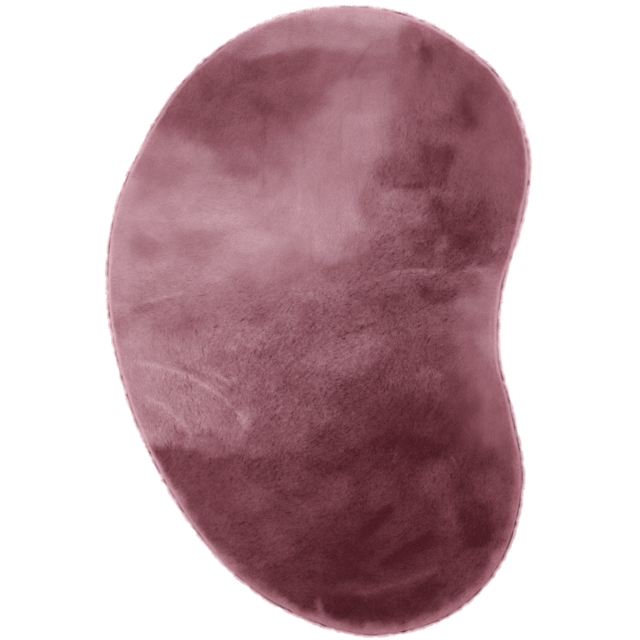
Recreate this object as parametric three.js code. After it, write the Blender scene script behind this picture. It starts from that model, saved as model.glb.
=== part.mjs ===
// Bean shaped plush pile rug, lying flat with its pile up. Millimetres, +Z up, origin at the centre of the
// underside. +Y runs along the rug to the wide end, and the hollow of the bean is on the +X side.
import {
  Box3,
  BufferGeometry,
  CatmullRomCurve3,
  Float32BufferAttribute,
  Group,
  Mesh,
  MeshStandardMaterial,
  ShapeUtils,
  Vector2,
  Vector3,
} from "three";

// Driving dimensions
const TOTAL_HEIGHT = 14; // ground cloth and lying pile together
const EDGE_STATIONS = 240; // steps round the outline, about 14 mm each
const ARC_LENGTH_SAMPLES = 8; // for each step, so that the steps come out even
const PIECE_GAP = 0.3; // between the edge yarn and the cloth

const YARN_WIDTH = 4; // overlock yarn across the edge
const YARN_HEIGHT = 3.2;
const YARN_SIDES = 8;

const PILE_OVERHANG = 2.6; // how far the pile leans out over the yarn
const PILE_LIP_HEIGHT = 2; // upright part of the pile's outer face
const PILE_ROLL_WIDTH = 12; // over this width the pile rolls down from its full height to the lip
const PILE_ROLL_STEPS = 6;

const PILE_COLOUR = 0x8f5566;
const YARN_COLOUR = 0x7c4250;

// The outer edge, clockwise seen from above, starting at the wide end
const OUTLINE = [
  { x: 45, y: 598 },
  { x: 150, y: 587 },
  { x: 242, y: 548 },
  { x: 352, y: 453 },
  { x: 403, y: 308 },
  { x: 385, y: 175 },
  { x: 350, y: 55 },
  { x: 345, y: -70 },
  { x: 370, y: -175 },
  { x: 390, y: -310 },
  { x: 345, y: -467 },
  { x: 240, y: -567 },
  { x: 90, y: -600 },
  { x: -62, y: -552 },
  { x: -175, y: -471 },
  { x: -285, y: -325 },
  { x: -366, y: -145 },
  { x: -403, y: 40 },
  { x: -391, y: 198 },
  { x: -345, y: 318 },
  { x: -268, y: 444 },
  { x: -180, y: 525 },
  { x: -75, y: 578 },
];

// Even steps along the outline, each with the direction that points out of the rug. The outline is moved so
// that the middle of its box is the origin.
function edgeStations() {
  const points = OUTLINE.map(({ x, y }) => new Vector3(x, y, 0));
  const curve = new CatmullRomCurve3(points, true, "centripetal");
  curve.arcLengthDivisions = EDGE_STATIONS * ARC_LENGTH_SAMPLES;
  const shares = Array.from({ length: EDGE_STATIONS }, (_, index) => index / EDGE_STATIONS);
  const places = shares.map((share) => curve.getPointAt(share));
  const middle = new Box3().setFromPoints(places).getCenter(new Vector3());
  return shares.map((share, index) => {
    const along = curve.getTangentAt(share);
    const outward = new Vector3(-along.y, along.x, 0);
    return { point: places[index].sub(middle), outward };
  });
}

// The outline moved in by inset and lifted to height
function ringAt(stations, { inset, height }) {
  return stations.map(({ point, outward }) =>
    point.clone().addScaledVector(outward, -inset).setZ(height),
  );
}

// Triangles that fill a ring, turned to face up
function capTriangles(ring) {
  const flat = ring.map(({ x, y }) => new Vector2(x, y));
  return ShapeUtils.triangulateShape(flat, []).map((corners) => {
    const facesUp = ShapeUtils.area(corners.map((corner) => flat[corner])) > 0;
    return facesUp ? corners : [...corners].reverse();
  });
}

// A closed skin through rings that run outwards and up. A tube joins its last ring to its first, and
// anything else is capped under its first ring and over its last.
function skin(rings, isTube) {
  const count = rings[0].length;
  const indices = [];
  const strips = isTube ? rings.length : rings.length - 1;
  for (let lower = 0; lower < strips; lower += 1) {
    const upper = (lower + 1) % rings.length;
    for (let here = 0; here < count; here += 1) {
      const next = (here + 1) % count;
      const [lowHere, lowNext] = [lower * count + here, lower * count + next];
      const [highHere, highNext] = [upper * count + here, upper * count + next];
      indices.push(lowNext, lowHere, highHere);
      indices.push(lowNext, highHere, highNext);
    }
  }
  if (!isTube) {
    const topStart = (rings.length - 1) * count;
    for (const [a, b, c] of capTriangles(rings.at(-1))) {
      indices.push(topStart + a, topStart + b, topStart + c);
    }
    for (const [a, b, c] of capTriangles(rings[0])) {
      indices.push(c, b, a);
    }
  }
  const geometry = new BufferGeometry();
  const positions = rings.flat().flatMap(({ x, y, z }) => [x, y, z]);
  geometry.setAttribute("position", new Float32BufferAttribute(positions, 3));
  geometry.setIndex(indices);
  geometry.computeVertexNormals();
  return geometry;
}

function fabric(color) {
  return new MeshStandardMaterial({ color, roughness: 0.95, metalness: 0 });
}

// The cloth and its pile are one piece: flat below, rebated round the edge for the yarn, and rolled over
// above it to the flat top of the pile
function pileCloth(stations) {
  const clothInset = YARN_WIDTH + PIECE_GAP;
  const shelfHeight = PIECE_GAP + YARN_HEIGHT + PIECE_GAP;
  const lipInset = YARN_WIDTH - PILE_OVERHANG;
  const rollStart = shelfHeight + PILE_LIP_HEIGHT;
  const profile = [
    { inset: clothInset, height: 0 },
    { inset: clothInset, height: shelfHeight },
    { inset: lipInset, height: shelfHeight },
  ];
  for (let step = 0; step <= PILE_ROLL_STEPS; step += 1) {
    const angle = (step / PILE_ROLL_STEPS) * (Math.PI / 2);
    profile.push({
      inset: lipInset + PILE_ROLL_WIDTH * (1 - Math.cos(angle)),
      height: rollStart + (TOTAL_HEIGHT - rollStart) * Math.sin(angle),
    });
  }
  const rings = profile.map((place) => ringAt(stations, place));
  const mesh = new Mesh(skin(rings, false), fabric(PILE_COLOUR));
  mesh.name = "pile_cloth";
  return mesh;
}

// The yarn that is overlocked over the cut edge, an oval ring that follows the outline
function overlockEdge(stations) {
  const rings = Array.from({ length: YARN_SIDES }, (_, side) => {
    const angle = (side / YARN_SIDES) * Math.PI * 2;
    return ringAt(stations, {
      inset: (YARN_WIDTH / 2) * (1 - Math.cos(angle)),
      height: PIECE_GAP + (YARN_HEIGHT / 2) * (1 + Math.sin(angle)),
    });
  });
  const mesh = new Mesh(skin(rings, true), fabric(YARN_COLOUR));
  mesh.name = "overlock_edge";
  return mesh;
}

const stations = edgeStations();
const rug = new Group();
rug.add(pileCloth(stations), overlockEdge(stations));

export default rug;
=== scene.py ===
# Bean shaped plush rug lying flat under soft studio light, seen from straight above. Sizes are in
# millimetres, and become metres where Blender is given them. +Y runs along the rug to its wide end.
import math
from collections import namedtuple

import bpy
import numpy as np
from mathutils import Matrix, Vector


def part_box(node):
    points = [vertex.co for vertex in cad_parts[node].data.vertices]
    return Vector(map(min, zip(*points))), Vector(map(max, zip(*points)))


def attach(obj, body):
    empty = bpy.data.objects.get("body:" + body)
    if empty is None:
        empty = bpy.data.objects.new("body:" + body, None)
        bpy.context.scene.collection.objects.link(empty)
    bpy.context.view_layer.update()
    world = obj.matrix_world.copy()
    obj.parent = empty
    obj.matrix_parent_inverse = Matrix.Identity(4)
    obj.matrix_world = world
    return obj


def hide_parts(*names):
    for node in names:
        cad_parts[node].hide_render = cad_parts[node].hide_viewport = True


METRES = 0.001

# Square grid of the fields that the pile follows
GRID_STEP = 2.0
GRID_HALF_WIDTH = 424.0
GRID_HALF_LENGTH = 620.0
LAST_CELL = 1.001  # keeps a place inside the last cell
RING_TOLERANCE = 0.05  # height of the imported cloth's lowest ring
LEAST_STATION_GAP = 1.0

# Ground cloth and pile surface
EDGE_STATIONS = 480
CLOTH_INSET = 4.3  # the cloth stops here behind the edge yarn
SHELF_HEIGHT = 3.8  # the bare edge of the cloth, under the edge yarn
ROLL_INSET = 5.4  # the pile surface starts here
ROLL_WIDTH = 12.0  # over this width it climbs to its full height
ROLL_STEPS = 6
PLATEAU_HEIGHT = 9.0
TOP_RINGS = 70
UNDERSIDE_RINGS = 6
TUCK = 2.0  # step of the lowest rings on the flat map, beyond the edge

# Parts of the flat map: left, width, bottom and height, as shares of it
TOP_MAP = (0.005, 0.69, 0.005, 0.99)
UNDER_MAP = (0.70, 0.295, 0.005, 0.43)

# Brushed noise is drawn out over its reach along the lean, and rough pile adds to its amount. A cloud is
# noise gathered into steps.
Noise = namedtuple("Noise", "amount cell seed")
Brushed = namedtuple("Brushed", "amount rough_amount cell reach seed")
Cloud = namedtuple("Cloud", "amount cell seed steps edge")
BRUSH_STEPS = 7

# Nap: the pile's colour with its light and shade painted in, paler where it lies and darker where it stands
BASE_SHADE = 0.42
CORNER_POWER = 2.3
WANDER_X = (Noise(3.0, 70.0, 1), Noise(2.5, 26.0, 2), Noise(1.5, 11.0, 3))  # loosens the marks
WANDER_Y = (Noise(3.0, 70.0, 4), Noise(2.5, 26.0, 5), Noise(1.5, 11.0, 6))
LINE_WANDER = 0.3  # share of the wandering that lines take
CLOUD_WANDER = 0.8
STROKE = Brushed(1.5, 3.5, 6.0, 20.0, 7)  # draws the marks out along the lean
CLOUDS = (Cloud(0.034, 44.0, 8, 2.5, 0.22), Cloud(0.027, 21.0, 9, 2.0, 0.25))
STREAKS = (Brushed(0.010, 0.022, 9.0, 40.0, 10), Brushed(0.003, 0.018, 4.0, 12.0, 11))
MOTTLE = Noise(0.016, 15.0, 12)
SWELL = (Noise(0.5, 70.0, 41), Noise(0.35, 18.0, 42))  # millimetres of height

WHOLE = 100  # shades and softness in the tables are in percent

Patch = namedtuple("Patch", "x y length width shade turn soft", defaults=(0, 70))

# Where the nap has been stroked: middle, length, width, the shade it takes, from 0 where the pile stands and
# its painted shade looks wine to 100 where it lies and its painted light looks pale, the length's turn from
# +X in degrees, and how softly it ends. Each lies over the ones before it.
PATCHES = [Patch(*row) for row in (
    (-60, -390, 700, 340, 22, -38, 35), (120, -350, 560, 460, 9, 30, 50), (-40, -200, 260, 120, 32, 10),
    (270, 330, 280, 510, 39, -4, 35), (175, 430, 110, 260, 43, 0, 60), (-240, 170, 440, 330, 77, 4, 40),
    (56, 330, 180, 330, 72, -8, 60), (-10, 200, 280, 210, 78, 8, 55), (-300, 310, 190, 110, 68, 30, 50),
    (-225, 60, 300, 90, 72, 4, 60), (60, 40, 300, 170, 46, 25, 50), (-110, -10, 260, 120, 54, 8, 55),
    (-50, -130, 240, 130, 42, -15, 60), (180, 60, 220, 190, 33, 0, 50), (-270, 5, 260, 80, 64, 3, 50),
    (175, -100, 200, 130, 27, 0, 60), (320, 30, 130, 170, 60, 0, 45), (345, -120, 110, 190, 50, 12, 50),
    (-250, -136, 290, 204, 68, -2, 16), (-345, -90, 130, 190, 75, 20, 55), (-130, -180, 120, 130, 55, 0, 50),
    (-140, 425, 330, 140, 37, 12, 28), (-60, 460, 170, 95, 39, 12, 25), (-150, 345, 150, 70, 45, 8, 50),
    (60, 490, 190, 90, 52, 22, 45), (50, 555, 320, 84, 74, -4, 28), (-95, 530, 180, 52, 67, 18, 28),
    (75, 578, 200, 34, 86, -5), (-140, 515, 60, 34, 60, 30, 60), (185, 545, 34, 50, 52, 10, 60),
    (205, 470, 26, 40, 35), (-180, 445, 90, 60, 32, 30, 60), (-205, 372, 50, 36, 35, -20, 60),
    (-100, 452, 90, 26, 42), (-205, 490, 60, 34, 46, 38, 50), (-240, 440, 46, 26, 46, 50, 60),
    (-170, 490, 26, 26, 34, 40, 60), (15, 440, 60, 50, 47, 40, 60), (-120, 325, 60, 40, 44),
    (-145, 300, 90, 60, 52, -10, 60), (-75, 310, 50, 80, 57, 10), (75, 365, 60, 90, 78, 0, 60),
    (20, 320, 40, 60, 70), (135, 275, 70, 60, 42, 0, 60), (150, 440, 30, 40, 50), (190, 400, 50, 70, 45),
    (222, 372, 60, 34, 33), (282, 396, 34, 90, 19, -4), (286, 392, 16, 50, 12, -4, 80),
    (355, 380, 60, 120, 42, -10), (185, 290, 60, 60, 35, 0, 60), (300, 330, 70, 60, 43),
    (280, 270, 60, 70, 38), (360, 230, 50, 70, 44), (95, 225, 50, 70, 57, 0, 50), (125, 250, 60, 20, 54),
    (188, 200, 36, 46, 52), (285, 172, 190, 104, 19, 0, 50), (345, 180, 50, 60, 34),
    (286, 140, 44, 40, 8, 0, 60), (215, 175, 34, 34, 24), (262, 108, 40, 20, 20), (118, 178, 60, 50, 60),
    (-200, 195, 130, 40, 90, 4, 60), (-130, 152, 90, 40, 88, 0, 60), (-100, 220, 60, 30, 82),
    (-330, 205, 70, 40, 82), (-250, 225, 90, 30, 84, 10), (-372, 235, 44, 100, 86, -20),
    (-350, 108, 80, 20, 80), (-90, 120, 70, 40, 78), (-45, 110, 70, 44, 66, 10, 60), (15, 200, 50, 110, 84),
    (40, 125, 60, 34, 72, 30, 60), (-185, 100, 90, 44, 80, 10, 60), (-20, 74, 90, 26, 64, 25, 60),
    (30, 92, 60, 24, 57, 35), (-375, 130, 50, 120, 84), (-378, 40, 40, 60, 80),
    (-240, -8, 130, 36, 56, 4, 60), (-345, -30, 60, 50, 76), (-165, -30, 100, 56, 69, 0, 60),
    (-20, -5, 60, 34, 43, 30), (0, 30, 60, 30, 46, 30), (30, 60, 70, 40, 54, 30, 60),
    (90, 95, 110, 50, 44, 10), (150, 20, 50, 50, 30), (65, -50, 120, 44, 56, 8, 50),
    (-110, -95, 70, 44, 45, 0, 60), (70, -150, 110, 60, 21, 5), (215, 95, 50, 14, 50, 4, 60),
    (275, 70, 60, 40, 38), (230, -10, 60, 34, 40, 10), (280, -10, 50, 40, 48), (318, -40, 44, 60, 66, 0, 50),
    (285, -60, 40, 40, 52), (290, -190, 30, 90, 24, -14, 60), (175, -200, 150, 110, 8, -10, 60),
    (200, -245, 70, 60, 0, 0, 60), (155, -225, 50, 50, 3, 0, 60), (110, -240, 110, 34, 6, 20, 60),
    (40, -215, 100, 50, 17, 15), (-212, -236, 60, 30, 44, -10, 40), (-250, -262, 60, 30, 27, 10, 50),
    (-100, -215, 60, 50, 36, 20, 60), (-292, -216, 130, 34, 54, -6, 50), (-198, -375, 180, 60, 29, -53),
    (-235, -305, 110, 70, 26, -30, 60), (-125, -330, 90, 70, 31, -10, 60), (-60, -290, 90, 60, 23),
    (-40, -365, 60, 44, 25, 20, 60), (-110, -410, 110, 60, 22, -20), (-70, -440, 60, 40, 20),
    (30, -325, 80, 50, 24, 20, 60), (110, -375, 84, 26, 4, 40, 75), (288, -378, 80, 74, 2, 10, 50),
    (170, -438, 116, 24, 1, 24), (50, -445, 110, 60, 1, 20), (205, -510, 50, 28, -2, 20),
    (180, -530, 80, 40, 2, 10), (60, -545, 140, 44, -2, -4, 50), (250, -500, 40, 26, 14, 30),
    (-85, 531, 150, 52, 67, 6, 45), (-190, 492, 40, 32, 50, 20, 60), (-90, 478, 150, 44, 34, 6, 55),
    (-105, 408, 60, 34, 30, -20, 60), (-262, 412, 50, 24, 46, 30), (-225, 312, 60, 36, 72),
    (130, 520, 60, 34, 61, 0, 60), (75, 425, 110, 56, 67, 4, 50), (160, 522, 24, 60, 47, 0, 60),
    (203, 505, 26, 40, 23, 14), (196, 470, 16, 34, 32), (205, 420, 60, 90, 42), (250, 382, 50, 30, 29),
    (286, 410, 56, 76, 26, 0, 60), (222, 318, 74, 46, 23, 2, 60), (240, 298, 26, 80, 19, -12, 85),
    (215, 268, 60, 30, 24, 0, 60), (100, 222, 40, 74, 58, 0, 50), (165, 190, 70, 34, 57, 0, 60),
    (225, 216, 34, 22, 14, -20, 85), (232, 136, 22, 40, 44, 0, 55), (190, 138, 36, 24, 22, 10, 60),
    (265, 108, 22, 30, 22, 0, 60), (325, 118, 60, 22, 26, 12, 50), (172, 90, 74, 12, 52, 4, 55),
    (180, 108, 80, 14, 33, 4, 60), (203, 55, 30, 26, 13, 20, 85), (240, 46, 44, 24, 16, 16, 85),
    (-42, 54, 40, 16, 61, 20), (-112, 16, 34, 32, 41, 10), (210, -98, 40, 24, 40),
    (358, -250, 40, 34, 33, 0, 50), (-140, -186, 30, 56, 66, -24), (-305, -190, 36, 70, 67, 30, 60),
    (-278, -255, 50, 26, 26, -10, 50), (-190, -248, 60, 16, 41, 10, 60), (-240, -234, 60, 20, 46),
    (-105, -150, 40, 70, 46, 0, 60), (200, -247, 72, 46, -3, 0, 60), (125, -232, 56, 22, 2, 10),
    (110, -320, 60, 60, 18), (112, -380, 66, 16, -2, 46, 80), (278, -370, 34, 28, -3, 0, 55),
    (303, -405, 54, 40, -3, 10, 50), (166, -434, 90, 15, -4, 30, 80), (218, -500, 44, 16, 3, 15, 60),
    (70, -485, 90, 22, 0, 8, 60), (-238, 138, 76, 56, 66, 0, 60), (-130, 152, 80, 42, 87, 0, 60),
    (-185, 222, 120, 40, 80), (340, -202, 74, 80, 42, 20, 60), (365, -262, 50, 50, 36, 0, 60),
    (20, -64, 120, 40, 54, 10, 60), (165, 322, 44, 64, 42, 0, 60), (225, 345, 60, 26, 38),
    (-25, -165, 60, 50, 37), (-25, -470, 60, 50, 10), (223, -299, 66, 58, 26, 50, 75),
    (240, -352, 30, 110, 19, 18, 85), (145, 230, 56, 30, 70, -10, 45), (330, -312, 60, 60, 28, 0, 60),
    (283, 394, 18, 56, 13, 8), (60, -70, 110, 60, 55, 8, 60), (275, -75, 50, 50, 47),
    (352, 290, 60, 150, 45), (352, -320, 50, 90, 30), (20, 262, 60, 60, 70), (-275, 281, 56, 50, 60),
    (-50, -375, 110, 60, 25, 10), (-175, 475, 60, 40, 40, 30), (255, 120, 50, 40, 30),
    (-225, -226, 120, 30, 50, 0, 60), (-190, -26, 90, 50, 63), (32, 215, 60, 120, 75),
    (-322, 138, 64, 44, 64), (125, 75, 120, 40, 46, 4), (325, 135, 50, 40, 30), (75, 150, 70, 40, 62, 20),
    (170, 225, 60, 40, 52), (-15, -462, 60, 60, 8), (-175, -75, 60, 40, 53), (-122, -470, 50, 44, 27, -40),
    (-125, 520, 50, 34, 58, 20), (75, 275, 50, 50, 66), (-322, 290, 80, 40, 63, -8),
    (354, 150, 40, 100, 48, -18, 80), (134, 142, 60, 46, 48, 30, 80), (158, 350, 40, 66, 54, 0, 80),
    (224, 10, 64, 36, 42, -6, 80), (34, 84, 90, 40, 55, 30, 80), (-14, 62, 44, 32, 63, 20, 80),
    (-314, -214, 30, 40, 76, 30, 80), (62, 438, 46, 36, 62, 0, 80), (-88, 262, 44, 44, 66, 0, 80),
    (-164, -288, 60, 40, 28, -30, 80), (-138, 50, 50, 70, 58, 0, 80),
)]

Line = namedtuple("Line", "x1 y1 x2 y2 x3 y3 width shade")

# Folds of the pile: start, the point that bends it, end, half width and the shade that it adds. A pale one
# is a ridge of laid pile with a painted highlight, and a dark one a soft trough with painted shade.
LINES = [Line(*row) for row in (
    (-345, 30, -300, 43, -246, 58, 3, 15), (-395, 31, -370, 28, -340, 31, 3, 8),
    (-360, 18, -320, 24, -290, 34, 5, -6), (-365, -77, -215, -85, -122, -208, 4, 17),
    (-265, -70, -205, -85, -155, -128, 4, 9), (-275, -84, -210, -100, -145, -140, 3.5, -10),
    (-340, -138, -265, -160, -234, -238, 5, 12), (-350, -160, -290, -180, -262, -225, 8, -4),
    (24, -38, 60, -22, 118, -1, 3, -16), (92, -34, 125, -26, 165, -8, 3, -10),
    (-60, -84, -20, -60, 20, -42, 3.5, -7), (-36, 300, -37, 240, -36, 185, 3, 4.5),
    (-16, 190, -14, 140, -12, 95, 3, -7), (-27, 328, -27, 310, -27, 288, 3, -7),
    (-84, 118, -84, 100, -85, 85, 2.6, -8), (-102, 386, -101, 355, -103, 326, 3, -11),
    (-103, 302, -103, 280, -103, 255, 2.6, -7), (-52, 580, -52, 545, -51, 506, 3, -5),
    (43, 445, 43, 360, 42, 285, 3.5, -4.5), (50, 452, 74, 488, 106, 534, 4, -9),
    (172, 566, 172, 535, 173, 505, 3.5, -10), (228, 475, 227, 445, 229, 415, 3, -6),
    (172, 380, 170, 350, 171, 320, 3, -8), (206, 340, 206, 280, 207, 220, 4, -5),
    (250, 336, 244, 290, 238, 240, 4, -7), (124, 330, 123, 300, 124, 262, 3, -7),
    (132, 92, 175, 96, 220, 99, 3, 14), (262, 93, 300, 95, 345, 97, 3.5, 8),
    (203, 12, 203, -40, 204, -92, 3, -8), (-162, 520, -161, 480, -160, 440, 3, -5),
    (-328, 166, -308, 164, -288, 147, 3, 10), (-380, 196, -330, 190, -280, 192, 3, 5),
    (150, -10, 210, -14, 270, -20, 3, 5), (126, -38, 117, -70, 104, -112, 3.5, -8),
    (138, 257, 170, 256, 202, 255, 5, -20), (-3, -524, 5, -545, 12, -578, 6.5, 38),
    (60, -520, 130, -507, 238, -463, 7, 10), (178, -482, 205, -475, 234, -465, 6, 8),
    (82, -406, 110, -384, 142, -348, 8, -10), (126, -460, 170, -437, 218, -402, 8, -12),
    (108, -505, 150, -495, 190, -482, 5, 5), (149, -236, 146, -254, 140, -272, 2.6, 16),
    (124, -314, 118, -328, 111, -340, 2.8, 9), (132, -404, 150, -393, 174, -386, 3.5, 7),
    (222, -380, 236, -392, 252, -410, 3, 8), (252, -256, 255, -263, 259, -271, 2.2, 22),
)]
LINE_STEPS = 16
LINE_FADE = 0.15  # share of its length over which it fades at each end
LINE_HEIGHT = 8.0  # of a ridge that adds the whole shade

# Places and which way the pile leans there, in degrees anticlockwise from +X
LEANS = [
    (-100, 540, 200), (80, 560, 182), (-150, 430, 215), (0, 470, 222), (70, 350, 266), (-120, 320, 250),
    (200, 450, 270), (290, 390, 270), (240, 300, 266), (350, 300, 275), (150, 220, 245), (280, 160, 225),
    (0, 200, 262), (-200, 200, 184), (-330, 150, 176), (-330, 60, 188), (-200, 30, 190), (-60, 40, 215),
    (180, 80, 205), (220, 30, 205), (300, 10, 190), (60, -40, 205), (-250, -60, 305), (-330, -130, 296),
    (-160, -140, 298), (-60, -130, 225), (160, -80, 262), (240, -120, 258), (320, -150, 235),
    (60, -230, 218), (-200, -300, 225), (-100, -380, 215), (120, -320, 218), (230, -300, 245),
    (320, -380, 240), (160, -460, 202), (20, -500, 190), (280, -480, 210),
]
LEAN_REACH = 40.0
LEAN_FALLOFF = 1.5
LEAN_WAVER = (Noise(0.35, 60.0, 31), Noise(0.25, 22.0, 32))  # radians

# Places and how rough the pile is there, from 0 where it is smooth to 1 where single tufts show
GRAINS = [
    (20, 0, 1), (0, -130, 1), (-80, -60, 0.95), (-240, -120, 0.7), (-330, -60, 0.3), (100, -80, 0.9),
    (150, 100, 0.9), (200, 200, 0.7), (-60, -240, 0.7), (200, 300, 0.5), (340, 330, 0.15), (200, 60, 0.8),
    (150, -200, 0.5), (-200, -320, 0.35), (0, -360, 0.45), (100, -480, 0.3), (250, -380, 0.4),
    (-200, 150, 0.25), (-320, 200, 0.1), (0, 250, 0.05), (60, 400, 0.1), (-130, 420, 0.3), (0, 560, 0.05),
    (320, 0, 0.1), (340, -170, 0.1), (-280, 30, 0.35), (-60, 130, 0.05), (60, 130, 0.3),
]
GRAIN_REACH = 50.0
SPECKS = Brushed(0.0, 0.14, 2.0, 2.5, 61)
PARTING_SHADOWS = Brushed(1.0, 0.0, 1.5, 9.0, 64)  # painted shadow in the gaps between tufts
PARTING_LEVELS = (0.60, 0.90)  # of that noise, where a parting begins
PARTING_ROUGHNESS = (0.12, 0.60)  # between no partings and all of them
PARTING_SHADE = 0.42
ROUGH_SHADE = 0.06  # makes up for how rough pile shades itself

# Places along the edge, with the width and shade of the pale band there, which is painted light on the
# pile's roll, the shade of its crest, a painted highlight where the pile rolls over, and the shade of the
# stitching outside it, the yarn's own colour darkened in places by painted shadow
RIMS = [
    (0, 590, 12, 80, 86, 110), (200, 560, 14, 66, 90, 85), (390, 350, 16, 63, 87, 80),
    (380, 150, 14, 62, 80, 68), (345, 0, 12, 76, 84, 55), (360, -180, 14, 62, 76, 40),
    (388, -320, 30, 52, 62, 18), (310, -510, 34, 53, 55, 14), (100, -600, 34, 58, 58, 30),
    (-100, -530, 32, 61, 62, 38), (-250, -380, 28, 67, 78, 56), (-340, -200, 18, 80, 93, 78),
    (-400, 50, 12, 90, 95, 82), (-370, 260, 12, 85, 89, 85), (-230, 480, 14, 62, 68, 70),
]
RIM_REACH = 30.0
RIM_SWAY = Noise(0.12, 30.0, 21)  # of the band's width, for band and crest
RIM_JITTER = Noise(0.5, 8.0, 22)  # in millimetres, for both
BAND_SWAY = Noise(0.18, 16.0, 25)  # of its width, for the band alone
BAND_FADE = 0.25  # share of its width at which it begins to fade
CREST_INSETS = (9.0, 13.0)  # the crest's painted highlight fades out between these
# painted shadow that changes the stitching's darkness along the edge, in broad stretches and short dashes
SEAM_NOISE = (Noise(0.18, 24.0, 23), Noise(0.45, 9.0, 24))

Layer = namedtuple(
    "Layer", "name spacing length width root_lift tip_lift turn seed sway tint", defaults=(0.16, 0.012)
)

# The pile, from the short dense hair at the bottom to the longest. Lifts are degrees above the surface, and
# the turn is the root lattice's. Hairs differ by their sway, in radians, and their tint.
LAYERS = [
    Layer("pile_underfur", 3.58, 4.6, 1.5, 60, 40, 0, 11),
    Layer("pile_short", 3.56, 5.6, 1.2, 56, 26, 22, 12),
    Layer("pile_middle", 3.56, 6.6, 1.1, 52, 18, 45, 13),
    Layer("pile_long", 3.56, 7.6, 1.0, 48, 10, 67, 14),
]
RIM_LAYER = Layer("pile_rim", 1.5, 5.2, 0.55, 44, 4, 11, 15, 0.25, 0.02)
FUZZ_LAYER = Layer("edge_fuzz", 0.18, 6.2, 0.40, 14, -16, 0, 16, 0.4, 0.05)
ROUGH_SWAY = 0.14  # what the roughest pile adds
ROUGH_TINT = 0.030
ROUGH_LIFT = 16.0
STANDING_LIFT = 24.0  # added to the lift where the nap is darkest
ROOT_DEPTH = 0.3  # how far under the pile surface the roots start

# One hair: a ribbon of three triangles between two points at its root, two where it bends and its tip
HAIR_CORNERS = (0, 1, 3, 0, 3, 2, 2, 3, 4)
HAIR_SIDES = (-1.0, 1.0, -1.0, 1.0, 0.0)
HAIR_PLACES = (0.0, 0.0, 0.5, 0.5, 1.0)
HAIR_BEND = 0.45  # share of its length at which it bends
ROOT_SHARE = 0.5  # of the extra lift, which the tip takes whole
ROOT_SCATTER = 6.0  # degrees of lift
TIP_SCATTER = 7.0
ROLL_SCATTER = 0.15  # radians about its own line
WIDTH_SCATTER = (0.8, 1.2)
LENGTH_SCATTER = (0.85, 1.10)

Strip = namedtuple("Strip", "shades across up side")

# Flat maps of a fibre: its shade runs across, its length up, and its sides lie a little apart
HAIR_MAP = Strip((-0.1, 1.4), (0.026, 0.986), (0.02, 0.98), 0.003)
STITCH_MAP = Strip((0.0, 1.2), (0.1, 0.82), (0.05, 0.95), 0.004)

# Pile near the edge
HAIR_MARGIN = 8.0  # roots stay this far in from the outer edge
HAIR_END_INSET = 5.6  # where the hair that leans over the edge ends
END_BUNCHES = (Noise(1.2, 24.0, 62), Noise(2.6, 9.0, 63))  # and how much further out here and there
END_SCATTER = 0.5
LEAST_LENGTH = 1.5
FULL_LENGTH_INSET = 22.0
RIM_LEAN_WIDTH = 24.0  # over this width the pile turns to lean outwards
RIM_LEAN = 1.5  # how strongly: above 1 nothing is left of the nap's own lean
RIM_ROOT_INSETS = (5.9, 12.5)
RIM_END_SCATTER = 0.4
LEAST_RIM_LENGTH = 1.2
RIM_SPAN = 0.8  # share of its length that a hair reaches outwards

# Fuzz over the edge yarn
FUZZ_BUNCHES = (Noise(1.0, 12.0, 72), Noise(0.6, 4.0, 73))
FUZZ_LEVELS = (-1.4, 1.0)  # a hair is kept if its random level is below the bunches' noise
FUZZ_ROOT_INSETS = (1.2, 3.4)
FUZZ_RETREAT = 1.4  # how much further in it starts for each millimetre that the pile reaches out
MOST_RETREAT = 2.4
UPPER_STOPS = slice(3, None, -1)  # a stitch's upper side, from outside in
FUZZ_RISE = 0.6  # share of the yarn's radius, above its middle line
FUZZ_LENGTHS = (0.7, 1.15)
# the fuzz is painted darker beside stitching that is darkened by painted shadow
FUZZ_SHADES = (0.90, 1.12)  # beside the darkest and the palest stitching

# Edge yarn
STITCH_PITCH = 3.0
STITCH_SLANT = 2.6
STITCH_SCATTER = (0.15, 0.2)  # across the edge and along it
STITCH_TINT = 0.05
STITCH_SEED = 51
YARN_RADIUS = 0.75
YARN_SIDES = 5
LEAST_YARN_HEIGHT = 0.05

# One stitch in section, from under the pile, out round the edge and back under the cloth
STITCH_INSETS = (6.4, 4.6, 2.5, 1.3, 1.8, 4.0)
STITCH_HEIGHTS = (3.7, 4.5, 4.0, 2.4, 1.0, 0.8)
STITCH_STOPS = len(STITCH_INSETS)

# Colours in even steps of painted nap shade, from wine at 0 to the palest mauve of the rim's painted light
PALETTE = ((86, 31, 40), (121, 63, 74), (151, 96, 107), (173, 131, 142), (194, 161, 170), (216, 201, 205))
PALETTE_TOP = 1.25
HAIR_GAIN = 1.24  # the hair shades itself, so its own colour is paler than it looks
YARN_GAIN = 1.3  # and the yarn lies in the shade of pile and fuzz
BLOOM = (226, 190, 200)

# The knit of the ground cloth: its wales along X, its courses, and its darkest and palest colour
KNIT = {
    "X": {"Scale": 90.0, "Distortion": 1.5, "Detail Scale": 3.0},
    "Y": {"Scale": 130.0, "Distortion": 1.0},
}
KNIT_COLOURS = ((96, 52, 62), (150, 100, 110))

# Studio, in metres where it isn't the camera
LENS = 85.0
SENSOR = 36.0
FRAME_WIDTH = 1212.4  # what the picture takes in, at the height of the pile
FRAME_CENTRE = (2.8, 1.5)
PILE_TOP = 8.0
FLOOR_REACH = 30.0
FLOOR_LEVEL = -0.0001
FLOOR_GREY = 0.9
LIGHT_SIZE = 4.0
LIGHT_WATTS = 105.0
LIGHT_PLACE = (-0.6, 0.8, 3.6)
LIGHT_TURN = (-0.18, -0.14, 0.0)
SURROUND_GREY = 0.95


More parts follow.
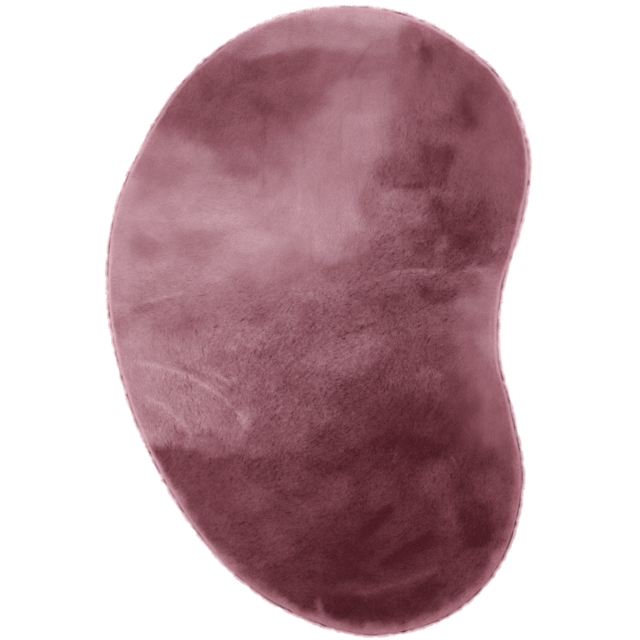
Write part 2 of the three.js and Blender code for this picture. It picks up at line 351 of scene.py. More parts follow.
def smooth_step(low, high, value):
    """0 up to low, 1 from high on, and a soft curve between them."""
    share = np.clip((value - low) / (high - low), 0.0, 1.0)
    return share * share * (3.0 - 2.0 * share)


def unit(vectors):
    """Rows of vectors, each made one unit long."""
    return vectors / np.maximum(np.linalg.norm(vectors, axis=-1, keepdims=True), 1e-9)


def between(grid, left, right, near, far, u, v):
    """A grid's value between four of its corners."""
    low = grid[left, near] * (1.0 - u) + grid[right, near] * u
    high = grid[left, far] * (1.0 - u) + grid[right, far] * u
    return low * (1.0 - v) + high * v


def lattice_noise(x, y, cell, seed):
    """Smooth noise from -1 to 1, with a random height at each corner of a lattice."""
    size = 256
    heights = np.random.default_rng(seed).uniform(-1.0, 1.0, (size, size))
    column = np.floor(x / cell).astype(int)
    row = np.floor(y / cell).astype(int)
    u = smooth_step(0.0, 1.0, x / cell - column)
    v = smooth_step(0.0, 1.0, y / cell - row)
    return between(heights, column % size, (column + 1) % size, row % size, (row + 1) % size, u, v)


def mixed_noise(x, y, *noises):
    """Noises of several sizes together."""
    return sum(noise.amount * lattice_noise(x, y, noise.cell, noise.seed) for noise in noises)


def brushed_noise(x, y, lean, rough, noise):
    """Noise drawn out along the lean."""
    total = np.zeros(x.shape)
    for shift in np.linspace(-noise.reach / 2, noise.reach / 2, BRUSH_STEPS):
        total += lattice_noise(x + shift * np.cos(lean), y + shift * np.sin(lean), noise.cell, noise.seed)
    return (noise.amount + noise.rough_amount * rough) * total / math.sqrt(BRUSH_STEPS)


def terraces(noise, steps, edge):
    """Noise gathered into levels that end quite sharply, as strokes of the hand do."""
    level = noise * steps
    whole = np.floor(level)
    return (whole + smooth_step(0.5 - edge, 0.5 + edge, level - whole)) / steps


def outward_of(ring):
    """The direction out of an anticlockwise ring at each of its points."""
    along = np.roll(ring, -1, axis=0) - np.roll(ring, 1, axis=0)
    return unit(np.stack([along[:, 1], -along[:, 0]], axis=1))


def steps_of(ring):
    """How far each point of a ring is from the one before it."""
    return np.linalg.norm(ring - np.roll(ring, 1, axis=0), axis=1)


def read_outline():
    """The rug's outer edge, anticlockwise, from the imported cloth's lowest ring and the edge yarn's reach."""
    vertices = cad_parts["pile_cloth"].data.vertices
    places = np.array([vertex.co for vertex in vertices]) / METRES
    ring = places[places[:, 2] < RING_TOLERANCE][:, :2]
    ring = ring[np.argsort(np.arctan2(ring[:, 1], ring[:, 0]))]
    ring = ring[steps_of(ring) > LEAST_STATION_GAP]
    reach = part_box("overlock_edge")[1].x / METRES - ring[:, 0].max()
    return ring + outward_of(ring) * reach


def even_stations(ring, count):
    """The same ring in even steps."""
    closed = np.vstack([ring, ring[:1]])
    travelled = np.cumsum(steps_of(closed))
    stops = np.linspace(0.0, travelled[-1], count, endpoint=False)
    return np.stack([np.interp(stops, travelled, closed[:, axis]) for axis in (0, 1)], axis=1)


def from_segment(x, y, start, step):
    """The share of a step's length before each place, and the place's squared distance from it."""
    dx, dy = step
    x, y = x - start[0], y - start[1]
    share = np.clip((x * dx + y * dy) / (dx * dx + dy * dy), 0.0, 1.0)
    return share, (x - share * dx) ** 2 + (y - share * dy) ** 2


def edge_depth(ring, x, y):
    """How far each place lies in from the ring, below 0 outside it."""
    nearest = np.full(x.shape, np.inf)
    inside = np.zeros(x.shape, bool)
    for start, end in zip(ring, np.roll(ring, -1, axis=0)):
        step = end - start
        nearest = np.minimum(nearest, from_segment(x, y, start, step)[1])
        if step[1] != 0:
            crosses = (start[1] > y) != (end[1] > y)
            inside ^= crosses & (x < start[0] + (y - start[1]) * step[0] / step[1])
    return np.where(inside, 1.0, -1.0) * np.sqrt(nearest)


def cover_of(patch, x, y):
    """How far a patch covers each place, from 0 to 1."""
    turn = math.radians(patch.turn)
    across, up = x - patch.x, y - patch.y
    u = (across * math.cos(turn) + up * math.sin(turn)) / (patch.length / 2)
    v = (up * math.cos(turn) - across * math.sin(turn)) / (patch.width / 2)
    radius = (np.abs(u) ** CORNER_POWER + np.abs(v) ** CORNER_POWER) ** (1.0 / CORNER_POWER)
    soft = patch.soft / WHOLE
    return 1.0 - smooth_step(1.0 - soft, 1.0 + soft, radius)


def cover_of_line(line, x, y):
    """How far a bent line covers each place, from 0 to 1."""
    nearest = np.full(x.shape, np.inf)
    along = np.zeros(x.shape)
    shares = np.linspace(0.0, 1.0, LINE_STEPS + 1)[:, None]
    start, bend, end = np.reshape(line[:6], (3, 2))
    path = (1 - shares) ** 2 * start + 2 * shares * (1 - shares) * bend + shares**2 * end
    for number, (place, step) in enumerate(zip(path, np.diff(path, axis=0))):
        share, distance = from_segment(x, y, place, step)
        along = np.where(distance < nearest, (number + share) / LINE_STEPS, along)
        nearest = np.minimum(nearest, distance)
    fade = smooth_step(0.0, LINE_FADE, along) * smooth_step(0.0, LINE_FADE, 1.0 - along)
    return np.exp(-nearest / line.width**2) * fade


def mix_rows(rows, x, y, reach, falloff=2.0):
    """At each place, what a table's rows say after their own place, mixed from those around."""
    total = np.zeros(x.shape)
    mixed = np.zeros((len(rows[0]) - 2, *x.shape))
    for row_x, row_y, *values in rows:
        weight = ((x - row_x) ** 2 + (y - row_y) ** 2 + reach**2) ** -falloff
        total += weight
        for sums, value in zip(mixed, values):
            sums += weight * value
    return mixed / total


def lean_angle(x, y):
    """The pile's lean, with a little waver."""
    turns = [math.radians(turn) for _, _, turn in LEANS]
    rows = [(*lean[:2], math.cos(turn), math.sin(turn)) for lean, turn in zip(LEANS, turns)]
    east, north = mix_rows(rows, x, y, LEAN_REACH, LEAN_FALLOFF)
    return np.arctan2(north, east) + mixed_noise(x, y, *LEAN_WAVER)


def laid_over(shade, upper, cover):
    """A shade with another laid over it, as far as that one covers."""
    return shade * (1.0 - cover) + upper * cover


def paint_strokes(x, y, lean, rough):
    """The nap's painted light and shade at each place, and what its lines add."""
    shift_x = mixed_noise(x, y, *WANDER_X)
    shift_y = mixed_noise(x, y, *WANDER_Y)
    stroke = brushed_noise(x, y, lean, rough, STROKE)
    warped_x = x + shift_x + stroke * np.cos(lean)
    warped_y = y + shift_y + stroke * np.sin(lean)
    shade = np.full(x.shape, BASE_SHADE)
    for patch in PATCHES:
        shade = laid_over(shade, patch.shade / WHOLE, cover_of(patch, warped_x, warped_y))
    lines = np.zeros(x.shape)
    for line in LINES:
        cover = cover_of_line(line, x + LINE_WANDER * shift_x, y + LINE_WANDER * shift_y)
        lines += line.shade / WHOLE * cover
    for cloud in CLOUDS:
        noise = lattice_noise(x + CLOUD_WANDER * shift_y, y + CLOUD_WANDER * shift_x, cloud.cell, cloud.seed)
        shade += cloud.amount * terraces(noise, cloud.steps, cloud.edge)
    for streak in STREAKS:
        shade += brushed_noise(x, y, lean, rough, streak)
    return shade + mixed_noise(x, y, MOTTLE) + lines, lines


def paint_rim(shade, x, y, depth):
    """The shade with the edge's pale band and crest painted on as light and highlight, and the shade of the
    stitching with its painted shadow.
    """
    width, *shades = mix_rows(RIMS, x, y, RIM_REACH)
    band_light, crest_highlight, seam = np.array(shades) / WHOLE
    inward = depth + width * mixed_noise(x, y, RIM_SWAY) + mixed_noise(x, y, RIM_JITTER)
    share = inward / width + mixed_noise(x, y, BAND_SWAY)
    # painted light of the band and painted highlight of the crest, laid over the nap's shade
    shade = np.maximum(shade, laid_over(shade, band_light, 1.0 - smooth_step(BAND_FADE, 1.0, share)))
    shade = np.maximum(shade, laid_over(shade, crest_highlight, 1.0 - smooth_step(*CREST_INSETS, inward)))
    return shade, seam + mixed_noise(x, y, *SEAM_NOISE)


def roll_height(depth):
    """Height of the pile's ground surface, which rolls down to the edge yarn."""
    share = np.clip((depth - ROLL_INSET) / ROLL_WIDTH, 0.0, 1.0)
    return SHELF_HEIGHT + (PLATEAU_HEIGHT - SHELF_HEIGHT) * np.sqrt(1.0 - (1.0 - share) ** 2)


def make_fields(ring):
    """Everything that the pile follows, on the square grid."""
    across = np.arange(-GRID_HALF_WIDTH, GRID_HALF_WIDTH + GRID_STEP, GRID_STEP)
    up = np.arange(-GRID_HALF_LENGTH, GRID_HALF_LENGTH + GRID_STEP, GRID_STEP)
    x, y = np.meshgrid(across, up, indexing="ij")
    depth = edge_depth(ring, x, y)
    lean = lean_angle(x, y)
    (rough,) = mix_rows(GRAINS, x, y, GRAIN_REACH)
    shade, lines = paint_strokes(x, y, lean, rough)
    shade, seam = paint_rim(shade, x, y, depth)
    inner = smooth_step(ROLL_INSET, ROLL_INSET + ROLL_WIDTH, depth)
    height = roll_height(depth) + inner * (lines * LINE_HEIGHT + mixed_noise(x, y, *SWELL))
    slope_x, slope_y = np.gradient(height, GRID_STEP)
    out_x, out_y = np.gradient(-depth, GRID_STEP)
    return dict(
        depth=depth, shade=shade, seam=seam, rough=rough * inner, height=height, lean_x=np.cos(lean),
        lean_y=np.sin(lean), slope_x=slope_x, slope_y=slope_y, out_x=out_x, out_y=out_y,
    )


def sample(name, x, y):
    """A field's value at any place."""
    field = fields[name]
    column = np.clip((x + GRID_HALF_WIDTH) / GRID_STEP, 0, field.shape[0] - LAST_CELL)
    row = np.clip((y + GRID_HALF_LENGTH) / GRID_STEP, 0, field.shape[1] - LAST_CELL)
    i, j = column.astype(int), row.astype(int)
    return between(field, i, i + 1, j, j + 1, column - i, row - j)


def add_object(name, data):
    """An object of its own in the scene."""
    added = bpy.data.objects.new(name, data)
    bpy.context.scene.collection.objects.link(added)
    return added


def make_piece(name, points, triangles, materials, numbers, corner_places, face_materials=None):
    """A piece of the rug from points in millimetres, with named numbers for each point, and the places of its
    triangles' corners on the flat map."""
    mesh = bpy.data.meshes.new(name)
    mesh.vertices.add(len(points))
    mesh.vertices.foreach_set("co", (points * METRES).astype(np.float32).ravel())
    mesh.loops.add(triangles.size)
    mesh.loops.foreach_set("vertex_index", triangles.astype(np.int32).ravel())
    mesh.polygons.add(len(triangles))
    mesh.polygons.foreach_set("loop_start", np.arange(0, triangles.size, 3, dtype=np.int32))
    mesh.polygons.foreach_set("use_smooth", np.ones(len(triangles), bool))
    for material in materials:
        mesh.materials.append(material)
    if face_materials is not None:
        mesh.polygons.foreach_set("material_index", face_materials.astype(np.int32))
    for label, values in numbers.items():
        attribute = mesh.attributes.new(label, "FLOAT", "POINT")
        attribute.data.foreach_set("value", values.astype(np.float32))
    layer = mesh.uv_layers.new(name="OFBake")
    layer.data.foreach_set("uv", corner_places.astype(np.float32).ravel())
    mesh.update(calc_edges=True)
    piece = add_object(name, mesh)
    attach(piece, "root")
    return piece


def linear(colour):
    """An sRGB colour of three 0 to 255 values as linear RGBA."""
    shares = [value / 255 for value in colour]
    parts = [share / 12.92 if share <= 0.04045 else ((share + 0.055) / 1.055) ** 2.4 for share in shares]
    return (*parts, 1.0)


def new_material(name):
    """A node material, with its shader."""
    material = bpy.data.materials.new(name)
    material.use_nodes = True
    return material, material.node_tree.nodes["Principled BSDF"]


def add_node(material, kind, **settings):
    """A node of a material, with its settings."""
    node = material.node_tree.nodes.new(kind)
    for key, value in settings.items():
        setattr(node, key, value)
    return node


def set_inputs(node, values):
    """Gives a node's named inputs their values."""
    for label, value in values.items():
        node.inputs[label].default_value = value


def link(material, output, socket):
    """Joins two nodes of a material."""
    material.node_tree.links.new(output, socket)


def math_node(material, operation, first, second):
    """A Math node of two values, each a number or another node's output."""
    node = add_node(material, "ShaderNodeMath", operation=operation)
    for socket, value in zip(node.inputs, (first, second)):
        if isinstance(value, (int, float)):
            socket.default_value = value
        else:
            link(material, value, socket)
    return node.outputs[0]


def attribute_value(material, label):
    """A value that each point of a piece carries."""
    return add_node(material, "ShaderNodeAttribute", attribute_name=label).outputs["Fac"]


def paint_shade(material, shader, change, middle, amount, gain=1.0):
    """Colours a finish by each point's shade, which carries painted light and shade, with an amount of a value
    that changes about a middle.
    """
    extra = math_node(material, "MULTIPLY", math_node(material, "SUBTRACT", change, middle), amount)
    shade = math_node(material, "ADD", attribute_value(material, "shade"), extra)
    ramp = add_node(material, "ShaderNodeValToRGB")
    link(material, math_node(material, "DIVIDE", shade, PALETTE_TOP), ramp.inputs["Fac"])
    elements = ramp.color_ramp.elements
    places = np.linspace(0.0, 1.0, len(PALETTE))
    for place in places[1:-1]:
        elements.new(place)
    for element, place, colour in zip(elements, places, PALETTE):
        element.position = place
        red, green, blue, alpha = linear(colour)
        element.color = (red * gain, green * gain, blue * gain, alpha)
    link(material, ramp.outputs["Color"], shader.inputs["Base Color"])


def add_pattern(material, kind, values, **settings):
    """A pattern that is fixed to the piece."""
    place = add_node(material, "ShaderNodeTexCoord").outputs["Object"]
    pattern = add_node(material, kind, **settings)
    set_inputs(pattern, values)
    link(material, place, pattern.inputs["Vector"])
    return pattern.outputs["Fac"]


def fine_noise(material, cell):
    """Noise with cells of a size in millimetres."""
    return add_pattern(material, "ShaderNodeTexNoise", {"Scale": 1.0 / (cell * METRES), "Detail": 2.0})


def add_bump(material, shader, height, strength, distance):
    """A bump of the surface, its distance in millimetres."""
    bump = add_node(material, "ShaderNodeBump")
    set_inputs(bump, {"Strength": strength, "Distance": distance * METRES})
    link(material, height, bump.inputs["Height"])
    link(material, bump.outputs["Normal"], shader.inputs["Normal"])


def soft_finish(name, sheen=0.0):
    """A matt material of soft fibres, with its shader."""
    material, shader = new_material(name)
    set_inputs(shader, {"Roughness": 0.85, "Specular IOR Level": 0.08})
    set_inputs(shader, {"Sheen Weight": sheen, "Sheen Roughness": 0.45, "Sheen Tint": linear(BLOOM)})
    return material, shader


def hair_finish():
    """Pile hair: painted a little darker at its root, as the shade down in the pile, and paler at its tip, as
    plush tips are.
    """
    material, shader = soft_finish("plush_hair")
    along = attribute_value(material, "along")
    paint_shade(material, shader, along, middle=0.6, amount=0.10, gain=HAIR_GAIN)
    return material


def ground_finish():
    """The dense pile under the hair tips."""
    material, shader = soft_finish("plush_ground")
    noise = fine_noise(material, cell=1.1)
    paint_shade(material, shader, noise, middle=0.5, amount=0.12)
    add_bump(material, shader, noise, strength=0.5, distance=0.6)
    return material


def knit_finish():
    """The knitted ground cloth, seen from below."""
    material, shader = soft_finish("ground_knit", sheen=0.05)
    wales, courses = [
        add_pattern(material, "ShaderNodeTexWave", values, wave_type="BANDS", bands_direction=direction)
        for direction, values in KNIT.items()
    ]
    loops = math_node(material, "MULTIPLY", wales, courses)
    ramp = add_node(material, "ShaderNodeValToRGB")
    for element, colour in zip(ramp.color_ramp.elements, KNIT_COLOURS):
        element.color = linear(colour)
    link(material, loops, ramp.inputs["Fac"])
    link(material, ramp.outputs["Color"], shader.inputs["Base Color"])
    add_bump(material, shader, loops, strength=0.6, distance=0.8)
    return material


def yarn_finish():
    """Overlock yarn, mottled by its fine strands."""
    material, shader = soft_finish("overlock_yarn", sheen=0.1)
    noise = fine_noise(material, cell=0.5)
    paint_shade(material, shader, noise, middle=0.5, amount=0.2, gain=YARN_GAIN)
    add_bump(material, shader, noise, strength=0.5, distance=0.3)
    return material


def ring_strip(lower, upper, count):
    """Triangles between two rings of a skin, given by their first point's number."""
    here = np.arange(count)
    beyond = np.roll(here, -1)
    first = np.stack([lower + here, lower + beyond, upper + beyond], axis=1)
    second = np.stack([lower + here, upper + beyond, upper + here], axis=1)
    return np.vstack([first, second])


def ground_rings(ring):
    """The rings of the cloth's skin, out under it, up its edge and back in over its top: their places,
    heights and places on the flat map, where the edge is unrolled."""
    outward = outward_of(ring)
    sole = ring - outward * CLOTH_INSET
    shares = np.arange(1, UNDERSIDE_RINGS + 1) / UNDERSIDE_RINGS
    rings = [(sole * share, np.zeros(len(ring)), sole * share) for share in shares]
    edge = [(CLOTH_INSET, 0.5 * SHELF_HEIGHT, -2 * TUCK), (CLOTH_INSET, SHELF_HEIGHT, -TUCK)]
    for step in range(ROLL_STEPS + 1):
        inset = ROLL_INSET + ROLL_WIDTH * (1.0 - math.cos(math.radians(90 * step / ROLL_STEPS)))
        edge.append((inset, float(roll_height(inset)), inset))
    for inset, level, map_inset in edge:
        rings.append((ring - outward * inset, np.full(len(ring), level), ring - outward * map_inset))
    shoulder = rings[-1][0]
    for share in 1.0 - np.arange(1, TOP_RINGS) / TOP_RINGS:
        place = shoulder * share
        rings.append((place, sample("height", *place.T), place))
    return rings


def map_part(places, left, width, bottom, height):
    """Places of the rug on one part of the flat map."""
    across = (places[:, 0] + GRID_HALF_WIDTH) / (2 * GRID_HALF_WIDTH)
    up = (places[:, 1] + GRID_HALF_LENGTH) / (2 * GRID_HALF_LENGTH)
    return np.column_stack([left + width * across, bottom + height * up])


def make_ground(outline):
    """The cloth with the dense part of its pile: one closed skin, flat below."""
    count = EDGE_STATIONS
    rings = ground_rings(even_stations(outline, count))
    points = np.vstack([np.column_stack([place, level]) for place, level, _ in rings])
    flat = np.vstack([map_place for _, _, map_place in rings])
    middle_height = sample("height", np.zeros(1), np.zeros(1))[0]
    points = np.vstack([points, [[0.0, 0.0, 0.0], [0.0, 0.0, middle_height]]])
    flat = np.vstack([flat, np.zeros((2, 2))])
    below, above = len(points) - 2, len(points) - 1
    here = np.arange(count)
    beyond = np.roll(here, -1)
    last = (len(rings) - 1) * count
    strips = [np.stack([beyond, here, np.full(count, below)], axis=1)]
    strips += [ring_strip(k * count, (k + 1) * count, count) for k in range(len(rings) - 1)]
    strips.append(np.stack([last + here, last + beyond, np.full(count, above)], axis=1))
    triangles = np.vstack(strips)
    under_count = count + 2 * count * (UNDERSIDE_RINGS - 1)
    is_under = np.arange(len(triangles)) < under_count
    top_map = map_part(flat, *TOP_MAP)[triangles]
    under_map = map_part(flat, *UNDER_MAP)[triangles]
    corner_places = np.where(is_under[:, None, None], under_map, top_map)
    shade = sample("shade", *points[:, :2].T)
    finishes = [ground_finish(), knit_finish()]
    return make_piece("pile_ground", points, triangles, finishes, {"shade": shade}, corner_places, is_under)


def lattice_roots(layer, rng, shallowest, deepest):
    """Root places between two depths, on a layer's turned lattice with random shifts."""
    reach = math.hypot(GRID_HALF_WIDTH, GRID_HALF_LENGTH)
    steps = np.arange(-reach, reach, layer.spacing)
    u, v = np.meshgrid(steps, steps)
    u = u.ravel() + rng.uniform(-0.5, 0.5, u.size) * layer.spacing
    v = v.ravel() + rng.uniform(-0.5, 0.5, v.size) * layer.spacing
    x, y, _ = turned(u, v, math.radians(layer.turn)).T
    near = (np.abs(x) < GRID_HALF_WIDTH) & (np.abs(y) < GRID_HALF_LENGTH)
    x, y = x[near], y[near]
    depth = sample("depth", x, y)
    chosen = (depth > shallowest) & (depth < deepest)
    return x[chosen], y[chosen]


def surface_normal(x, y):
    """The direction out of the pile's ground surface."""
    return unit(np.column_stack([-sample("slope_x", x, y), -sample("slope_y", x, y), np.ones(len(x))]))


def turned(east, north, turn):
    """Level vectors, turned by one angle or each by its own."""
    return np.column_stack([
        east * np.cos(turn) - north * np.sin(turn),
        east * np.sin(turn) + north * np.cos(turn),
        np.zeros(len(east)),
    ])


def painted_shade(points, tint):
    """The nap's shade at each point of each hair, with specks and the painted shadow of partings between
    tufts where the pile is rough, and the hair's own tint."""
    x, y = points[..., 0], points[..., 1]
    lean = np.arctan2(sample("lean_y", x, y), sample("lean_x", x, y))
    rough = sample("rough", x, y)
    shade = sample("shade", x, y) + ROUGH_SHADE * rough + brushed_noise(x, y, lean, rough, SPECKS)
    # painted shadow in the partings between tufts, stronger where the pile is rougher
    parting_shadow = smooth_step(*PARTING_LEVELS, brushed_noise(x, y, lean, rough, PARTING_SHADOWS))
    return shade - PARTING_SHADE * smooth_step(*PARTING_ROUGHNESS, rough) * parting_shadow + tint[:, None]


def grow_hair(layer, root, lean, normal, length, extra_lift, rng):
    """The five points of each hair. root, lean and normal have a vector for each hair."""
    count = len(root)
    flat = unit(lean - normal * np.sum(lean * normal, axis=1, keepdims=True))
    side = np.cross(flat, normal)
    root_lift = np.radians(layer.root_lift + ROOT_SHARE * extra_lift + rng.normal(0, ROOT_SCATTER, count))
    tip_lift = np.radians(layer.tip_lift + extra_lift + rng.normal(0, TIP_SCATTER, count))
    rise, fall = [
        flat * np.cos(lift)[:, None] + normal * np.sin(lift)[:, None] for lift in (root_lift, tip_lift)
    ]
    roll = rng.normal(0, ROLL_SCATTER, count)[:, None]
    half = side * np.cos(roll) + normal * np.sin(roll)
    half = half * (0.5 * layer.width * rng.uniform(*WIDTH_SCATTER, count))[:, None]
    middle = root + rise * length[:, None] * HAIR_BEND
    tip = middle + fall * length[:, None] * (1.0 - HAIR_BEND)
    return np.stack([root - half, root + half, middle - half, middle + half, tip], axis=1)


def map_fibre(strip, shade, along, side):
    """Places on the flat map of a fibre."""
    across = np.interp(shade, strip.shades, strip.across) + strip.side * side
    return np.column_stack([across, np.interp(along, (0.0, 1.0), strip.up)])


def make_hair_piece(name, points, shade, material):
    """A piece of hairs, with a shade for each of their points."""
    count, corners = points.shape[:2]
    triangles = (corners * np.arange(count)[:, None] + HAIR_CORNERS).reshape(-1, 3)
    numbers = {"shade": shade.ravel(), "along": np.tile(HAIR_PLACES, count)}
    map_places = map_fibre(HAIR_MAP, *numbers.values(), np.tile(HAIR_SIDES, count))[triangles]
    piece = make_piece(name, points.reshape(-1, 3), triangles, [material], numbers, map_places)
    return piece


def room_to_edge(x, y, scatter, rng):
    """How far each hair may reach outwards, so that hairs end in bunches."""
    bunches = mixed_noise(x, y, *END_BUNCHES)
    return sample("depth", x, y) - HAIR_END_INSET + bunches + rng.normal(0, scatter, len(x))


def plant(layer, x, y, lean, length, lift, tint, material, rng):
    """A layer of hair on the pile's ground surface."""
    root = np.column_stack([x, y, sample("height", x, y) - ROOT_DEPTH])
    points = grow_hair(layer, root, lean, surface_normal(x, y), length, lift, rng)
    return make_hair_piece(layer.name, points, painted_shade(points, rng.normal(0, tint, len(x))), material)


def make_layer(layer, material):
    """One layer of the pile over the whole rug."""
    rng = np.random.default_rng(layer.seed)
    x, y = lattice_roots(layer, rng, HAIR_MARGIN, math.inf)
    depth = sample("depth", x, y)
    rough = sample("rough", x, y)
    outward = RIM_LEAN * (1.0 - smooth_step(HAIR_MARGIN, RIM_LEAN_WIDTH, depth))
    kept = 1.0 - np.minimum(outward, 1.0)
    east = sample("lean_x", x, y) * kept + sample("out_x", x, y) * outward
    north = sample("lean_y", x, y) * kept + sample("out_y", x, y) * outward
    lean = turned(east, north, rng.normal(0, layer.sway + ROUGH_SWAY * rough))
    length = layer.length * rng.uniform(*LENGTH_SCATTER, len(x))
    edge_length = np.maximum(room_to_edge(x, y, END_SCATTER, rng), LEAST_LENGTH)
    edge_length += layer.length * smooth_step(HAIR_MARGIN, FULL_LENGTH_INSET, depth)
    length = np.minimum(length, edge_length)
    lift = STANDING_LIFT * (1.0 - np.clip(sample("shade", x, y), 0.0, 1.0)) + ROUGH_LIFT * rough
    return plant(layer, x, y, lean, length, lift, layer.tint + ROUGH_TINT * rough, material, rng)


def make_rim_pile(material):
    """Short dense hair on the roll at the edge, which ends over the stitching."""
    layer = RIM_LAYER
    rng = np.random.default_rng(layer.seed)
    x, y = lattice_roots(layer, rng, *RIM_ROOT_INSETS)
    lean = turned(sample("out_x", x, y), sample("out_y", x, y), rng.normal(0, layer.sway, len(x)))
    length = room_to_edge(x, y, RIM_END_SCATTER, rng) / RIM_SPAN
    length = np.clip(length, LEAST_RIM_LENGTH, layer.length)
    return plant(layer, x, y, lean, length, np.zeros(len(x)), layer.tint, material, rng)


def stitch_frames(ring, rng):
    """The middle line of every stitch, and two directions across it at each of its stops."""
    count = len(ring)
    outward = outward_of(ring)
    along = np.column_stack([-outward[:, 1], outward[:, 0]])
    across_scatter, along_scatter = STITCH_SCATTER
    inset = np.array(STITCH_INSETS) + rng.normal(0, across_scatter, (count, 1))
    shift = np.linspace(0.5, -0.5, STITCH_STOPS) * STITCH_SLANT + rng.normal(0, along_scatter, (count, 1))
    place = ring[:, None, :] - outward[:, None, :] * inset[:, :, None] + along[:, None, :] * shift[:, :, None]
    level = np.broadcast_to(STITCH_HEIGHTS, (count, STITCH_STOPS))
    centre = np.concatenate([place, level[:, :, None]], axis=2)
    tangent = unit(np.gradient(centre, axis=1))
    seam = np.concatenate([along, np.zeros((count, 1))], axis=1)[:, None, :]
    first = unit(seam - tangent * np.sum(seam * tangent, axis=2, keepdims=True))
    return centre, first, np.cross(tangent, first)


def stitch_triangles():
    """The skin of one stitch: a tube with closed ends."""
    last = (STITCH_STOPS - 1) * YARN_SIDES
    strips = [ring_strip(start, start + YARN_SIDES, YARN_SIDES) for start in range(0, last, YARN_SIDES)]
    for side in range(1, YARN_SIDES - 1):
        strips.append(np.array([[0, side + 1, side], [last, last + side, last + side + 1]]))
    return np.vstack(strips)


def make_stitches(outline):
    """Slanted yarn loops round the cut edge."""
    rng = np.random.default_rng(STITCH_SEED)
    count = int(steps_of(outline).sum() / STITCH_PITCH)
    ring = even_stations(outline, count)
    centre, first, second = stitch_frames(ring, rng)
    angle = (np.arange(YARN_SIDES) / YARN_SIDES * 2 * math.pi)[:, None]
    spokes = np.cos(angle) * first[:, :, None, :] + np.sin(angle) * second[:, :, None, :]
    points = centre[:, :, None, :] + YARN_RADIUS * spokes
    points[..., 2] = np.maximum(points[..., 2], LEAST_YARN_HEIGHT)
    block = STITCH_STOPS * YARN_SIDES
    triangles = (np.arange(count)[:, None, None] * block + stitch_triangles()).reshape(-1, 3)
    # each stitch takes the stitching's shade there: the yarn's own colour, darkened in places by painted
    # shadow
    shade = np.repeat(sample("seam", *ring.T) + rng.normal(0, STITCH_TINT, count), block)
    along = np.tile(np.repeat(np.linspace(0.0, 1.0, STITCH_STOPS), YARN_SIDES), count)
    side = np.tile(np.arange(YARN_SIDES), count * STITCH_STOPS)
    map_places = map_fibre(STITCH_MAP, shade, along, side)[triangles]
    finishes = [yarn_finish()]
    points = points.reshape(-1, 3)
    piece = make_piece("edge_stitches", points, triangles, finishes, {"shade": shade}, map_places)
    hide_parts("overlock_edge")
    return piece


def make_fuzz(outline, material):
    """Fine pale hairs that lie out over the edge yarn, in uneven bunches."""
    layer = FUZZ_LAYER
    rng = np.random.default_rng(layer.seed)
    ring = even_stations(outline, int(steps_of(outline).sum() / layer.spacing))
    outward = outward_of(ring)
    kept = rng.uniform(*FUZZ_LEVELS, len(ring)) < mixed_noise(*ring.T, *FUZZ_BUNCHES)
    ring, outward = ring[kept], outward[kept]
    x, y = ring.T
    count = len(ring)
    retreat = np.clip(FUZZ_RETREAT * mixed_noise(x, y, *END_BUNCHES), 0.0, MOST_RETREAT)
    inset = rng.uniform(*FUZZ_ROOT_INSETS, count) + retreat
    level = np.interp(inset, STITCH_INSETS[UPPER_STOPS], STITCH_HEIGHTS[UPPER_STOPS])
    root = np.column_stack([ring - outward * inset[:, None], level + FUZZ_RISE * YARN_RADIUS])
    lean = turned(*outward.T, rng.normal(0, layer.sway, count))
    normal = np.tile([0.0, 0.0, 1.0], (count, 1))
    length = layer.length * rng.uniform(*FUZZ_LENGTHS, count)
    points = grow_hair(layer, root, lean, normal, length, np.zeros(count), rng)
    # the fuzz follows the stitching's shade, so it is painted darker beside the stitching's painted shadow
    shade = np.interp(sample("seam", x, y), (0.0, 1.0), FUZZ_SHADES) + rng.normal(0, layer.tint, count)
    return make_hair_piece(layer.name, points, np.repeat(shade, points.shape[1]), material)


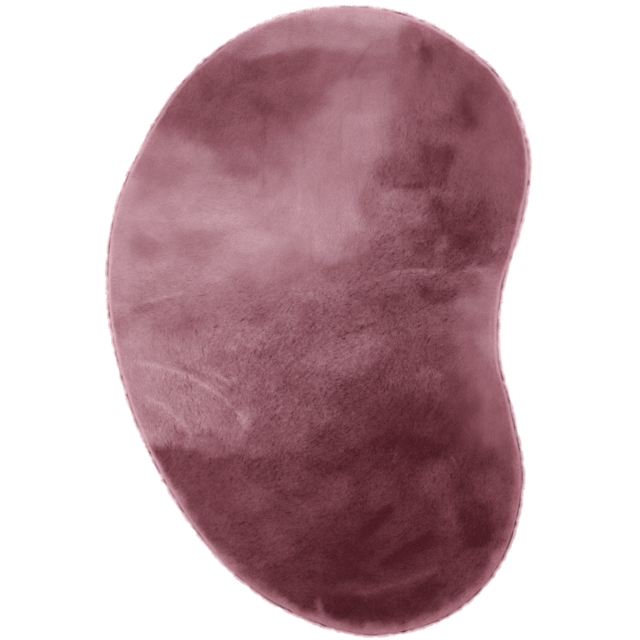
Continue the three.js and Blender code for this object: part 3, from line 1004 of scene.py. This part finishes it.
def make_floor():
    """A plain pale floor that reaches past every view."""
    material, shader = new_material("studio_floor")
    set_inputs(shader, {"Base Color": (FLOOR_GREY, FLOOR_GREY, FLOOR_GREY, 1.0), "Roughness": 0.9})
    mesh = bpy.data.meshes.new("floor")
    corners = [(-1, -1), (1, -1), (1, 1), (-1, 1)]
    places = [(across * FLOOR_REACH, up * FLOOR_REACH, FLOOR_LEVEL) for across, up in corners]
    mesh.from_pydata(places, [], [(0, 1, 2, 3)])
    mesh.materials.append(material)
    add_object("floor", mesh)


def make_light():
    """One broad soft light overhead, and a pale surround."""
    light = bpy.data.lights.new("overhead", "AREA")
    light.shape = "SQUARE"
    light.size = LIGHT_SIZE
    light.energy = LIGHT_WATTS
    lamp = add_object("overhead", light)
    lamp.location = LIGHT_PLACE
    lamp.rotation_euler = LIGHT_TURN
    world = bpy.data.worlds.new("surround")
    world.use_nodes = True
    colour = (SURROUND_GREY, SURROUND_GREY, SURROUND_GREY, 1.0)
    set_inputs(world.node_tree.nodes["Background"], {"Color": colour, "Strength": 1.0})
    scene = bpy.context.scene
    scene.world = world
    scene.view_settings.view_transform = "Standard"


def make_camera():
    """Straight above the rug, as far away as the picture's width needs."""
    data = bpy.data.cameras.new("camera")
    data.lens = LENS
    data.sensor_width = SENSOR
    camera = add_object("camera", data)
    distance = FRAME_WIDTH * LENS / SENSOR
    camera.location = (FRAME_CENTRE[0] * METRES, FRAME_CENTRE[1] * METRES, (distance + PILE_TOP) * METRES)
    bpy.context.scene.camera = camera


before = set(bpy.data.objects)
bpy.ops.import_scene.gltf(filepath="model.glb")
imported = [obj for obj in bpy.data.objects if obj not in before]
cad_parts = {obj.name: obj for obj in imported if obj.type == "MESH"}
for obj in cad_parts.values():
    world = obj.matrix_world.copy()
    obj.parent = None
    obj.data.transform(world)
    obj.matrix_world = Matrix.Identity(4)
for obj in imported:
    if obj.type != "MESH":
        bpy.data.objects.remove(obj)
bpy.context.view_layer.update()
outline = read_outline()
fields = make_fields(outline)
make_camera()
make_light()
make_floor()
ground = make_ground(outline)
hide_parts("pile_cloth")
hair = hair_finish()
layers = [make_layer(layer, hair) for layer in LAYERS]
rim_pile = make_rim_pile(hair)
stitches = make_stitches(outline)
fuzz = make_fuzz(outline, hair)
